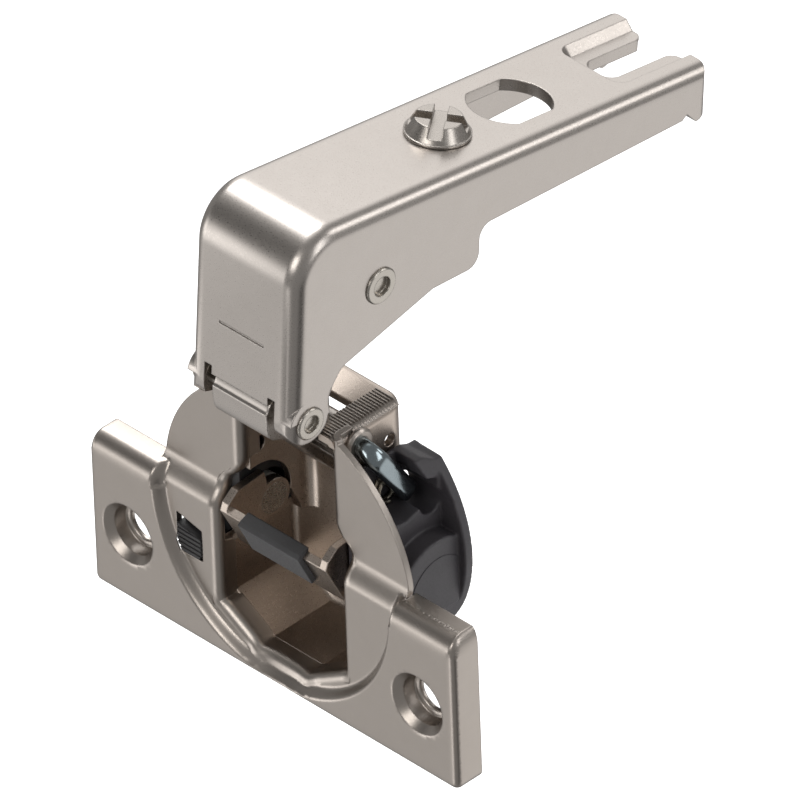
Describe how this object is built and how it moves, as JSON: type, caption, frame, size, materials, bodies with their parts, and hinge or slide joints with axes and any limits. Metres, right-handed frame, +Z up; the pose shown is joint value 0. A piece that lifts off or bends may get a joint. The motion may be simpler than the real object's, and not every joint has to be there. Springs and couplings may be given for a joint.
{
  "type": "concealed cup hinge",
  "caption": "Concealed cabinet hinge with a drilled-in cup, a four-bar linkage, a folded cranked arm and a built-in closing damper.",
  "frame": {"origin": "on the cup's axis, in the plane of the flange's front face", "axes": "+X along the flange, +Y along the cup's axis into the door, +Z up towards the arm"},
  "size_m": [0.0566, 0.0656, 0.0636],
  "materials": {
    "cup_steel": "satin nickel plated",
    "arm_steel": "satin nickel plated",
    "pin_steel": "plated",
    "screw_steel": "plated",
    "zinc_wire": "bright zinc",
    "spring_steel": "drawn wire",
    "housing_plastic": "fine grain",
    "bumper_plastic": "matt",
    "pale_plastic": "plain",
    "seal_rubber": "plain"
  },
  "bodies": {
    "cup": {"cup": "cup_steel", "cup_pin": "zinc_wire", "cup_pin_collar": "cup_steel", "damper_housing": "housing_plastic", "damper_cover": "housing_plastic", "damper_seal": "seal_rubber", "spring_housing": "housing_plastic", "shaft_bush": "pale_plastic", "lever_return_spring": "spring_steel", "closing_spring": "spring_steel", "buffer_spring": "spring_steel", "switch_detent": "spring_steel"},
    "inner_link": {"inner_link": "arm_steel"},
    "outer_link": {"outer_link": "arm_steel"},
    "arm": {"arm": "arm_steel", "lower_arm_pin": "pin_steel", "upper_arm_pin": "pin_steel"},
    "screw": {"side_adjusting_screw": "screw_steel"},
    "lever": {"damper_lever": "cup_steel", "lever_bumper": "bumper_plastic", "damper_shaft": "pin_steel", "lever_pivot": "pin_steel", "damper_rotor": "pale_plastic"},
    "switch": {"deactivation_switch": "bumper_plastic"}
  },
  "joints": [
    {"name": "inner_link_fold", "type": "hinge", "parent": "cup", "child": "inner_link", "pos_m": [0, 0.0118, 0.0071], "axis": [1, 0, 0], "range_deg": [0, 105]},
    {"name": "arm_pivot", "type": "hinge", "parent": "inner_link", "child": "arm", "pos_m": [0, -0.00064, 0.0218], "axis": [1, 0, 0], "range_deg": [-10, 0]},
    {"name": "outer_link_fold", "type": "hinge", "parent": "cup", "child": "outer_link", "pos_m": [0, 0.0064, 0.0152], "axis": [1, 0, 0], "range_deg": [0, 138.5]},
    {"name": "lever_fold", "type": "hinge", "parent": "cup", "child": "lever", "pos_m": [0, 0.0079, -0.0009], "axis": [1, 0, 0], "range_deg": [0, 92]},
    {"name": "side_screw_turn", "type": "hinge", "parent": "arm", "child": "screw", "pos_m": [0, 0.02779, 0.04158], "axis": [0, 0.1555, 0.9878], "range_deg": [-180, 180]},
    {"name": "switch_slide", "type": "slide", "parent": "cup", "child": "switch", "axis": [0, 0, 1], "range_m": [0, 0.0012]}
  ],
  "couplings": [
    {"joint": "arm_pivot", "follows": "inner_link_fold", "ratio": -0.095238},
    {"joint": "outer_link_fold", "follows": "inner_link_fold", "ratio": 1.319},
    {"joint": "lever_fold", "follows": "inner_link_fold", "ratio": 0.87619}
  ]
}
